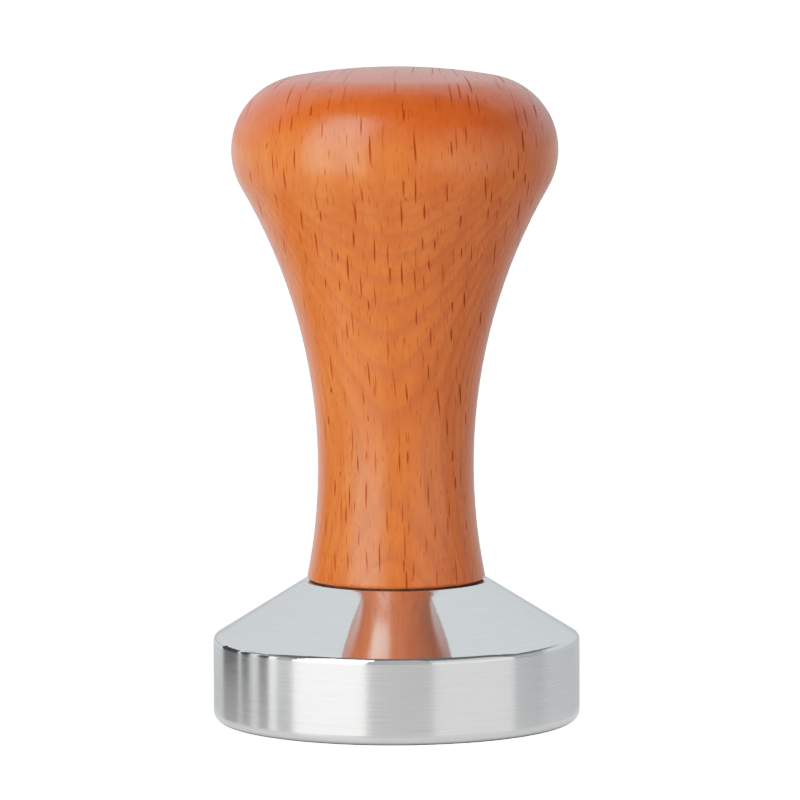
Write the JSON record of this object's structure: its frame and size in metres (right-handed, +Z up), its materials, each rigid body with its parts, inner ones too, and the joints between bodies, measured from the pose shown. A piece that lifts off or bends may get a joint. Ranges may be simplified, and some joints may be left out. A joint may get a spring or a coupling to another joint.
{
  "type": "espresso tamper",
  "caption": "Hand tamper for pressing ground coffee: flat steel piston with a cone shoulder, screwed to a waisted wood handle with a domed knob.",
  "frame": {"origin": "centre of the flat tamping face, the lowest point of the object", "axes": "+Z up along the turning axis, from the tamping face to the knob; +X and +Y are arbitrary, and every thread starts in the +X half plane"},
  "size_m": [0.051, 0.051, 0.0909],
  "materials": {
    "polished_steel": "lathe-turned and polished",
    "zinc_steel": "zinc plated",
    "fibre": "matt dark fibre",
    "brass": "machined",
    "stained_wood": "stained reddish orange, gloss lacquer"
  },
  "bodies": {
    "base": {"base": "polished_steel", "stud": "zinc_steel"},
    "washer": {"seat_washer": "fibre"},
    "handle": {"handle": "stained_wood", "threaded_insert": "brass"}
  },
  "joints": [
    {"name": "handle_unscrew", "type": "hinge", "parent": "base", "child": "washer", "pos_m": [0, 0, 0.01965], "axis": [0, 0, 1], "range_deg": [0, 3456]},
    {"name": "handle_lift", "type": "slide", "parent": "washer", "child": "handle", "axis": [0, 0, 1], "range_m": [0, 0.012]}
  ],
  "couplings": [
    {"joint": "handle_lift", "follows": "handle_unscrew", "m_per_rad": 0.00019894}
  ]
}
